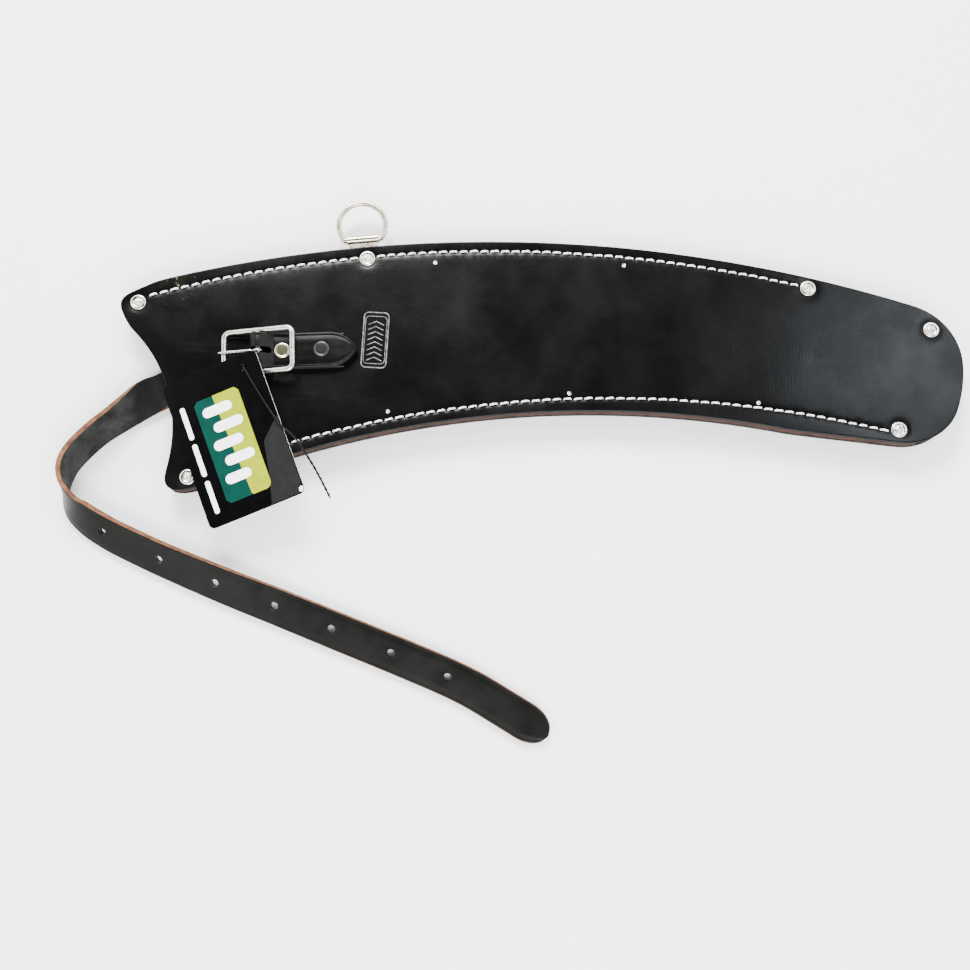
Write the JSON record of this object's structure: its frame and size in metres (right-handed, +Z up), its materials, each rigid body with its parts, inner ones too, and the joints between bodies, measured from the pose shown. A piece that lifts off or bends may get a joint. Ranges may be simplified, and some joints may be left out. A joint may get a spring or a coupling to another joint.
{
  "type": "hand saw scabbard",
  "caption": "Curved flat scabbard for a tree worker's hand saw, with a buckled leather leg strap, a dee ring on the convex edge and a blank hang tag.",
  "frame": {"origin": "centre of the overall box, on the resting surface the scabbard lies on", "axes": "+X from the mouth towards the tip, +Y towards the outer convex edge with the dee ring, +Z up, away from the resting surface"},
  "size_m": [0.4635, 0.2827, 0.0281],
  "materials": {
    "belting": "black rubberised fabric belting with a low sheen",
    "welt_leather": "natural brown leather, cut edges",
    "strap_leather": "black dyed harness leather, tan raw edges",
    "thread": "waxed white twisted thread",
    "nickel": "bright nickel plate",
    "card": "black laminated card with a white core",
    "black_plastic": "black barbed plastic fastener"
  },
  "bodies": {
    "scabbard": {"front_panel": "belting", "back_panel": "belting", "upper_welt": "welt_leather", "lower_welt": "welt_leather", "tip_spacer": "welt_leather", "upper_stitching": "thread", "lower_stitching": "thread", "edge_rivets": "nickel", "edge_burrs": "nickel", "tack_nails": "nickel", "dee_clip": "nickel", "chape": "strap_leather", "chape_rivets": "nickel", "chape_burrs": "nickel", "strap_upper": "strap_leather", "strap_rivets": "nickel", "strap_burrs": "nickel", "tag_fastener": "black_plastic"},
    "dee": {"dee_ring": "nickel"},
    "buckle": {"buckle_frame": "nickel"},
    "tongue": {"buckle_tongue": "nickel"},
    "strap_end": {"strap_bend": "strap_leather", "strap_lower": "strap_leather"},
    "tag": {"hang_tag": "card"}
  },
  "joints": [
    {"name": "dee_swing", "type": "hinge", "parent": "scabbard", "child": "dee", "pos_m": [-0.077, 0.1197, 0.0101], "axis": [0.9962, 0.0872, 0], "range_deg": [-125, 125]},
    {"name": "buckle_tilt", "type": "hinge", "parent": "scabbard", "child": "buckle", "pos_m": [-0.1285, 0.0552, 0.0204], "axis": [-0.0384, 0.9993, 0], "range_deg": [0, 7.5]},
    {"name": "tongue_swing", "type": "hinge", "parent": "buckle", "child": "tongue", "pos_m": [-0.1285, 0.0552, 0.0204], "axis": [-0.0384, 0.9993, 0], "range_deg": [0, 140]},
    {"name": "strap_flex", "type": "hinge", "parent": "scabbard", "child": "strap_end", "pos_m": [-0.22691, -0.00849, 0.00953], "axis": [0, 0, 1], "range_deg": [-60, 6]},
    {"name": "tag_swing", "type": "hinge", "parent": "scabbard", "child": "tag", "pos_m": [-0.1342, 0.045, 0.0253], "axis": [-0.1371, -0.0797, 0.9873], "range_deg": [-10, 3]}
  ]
}
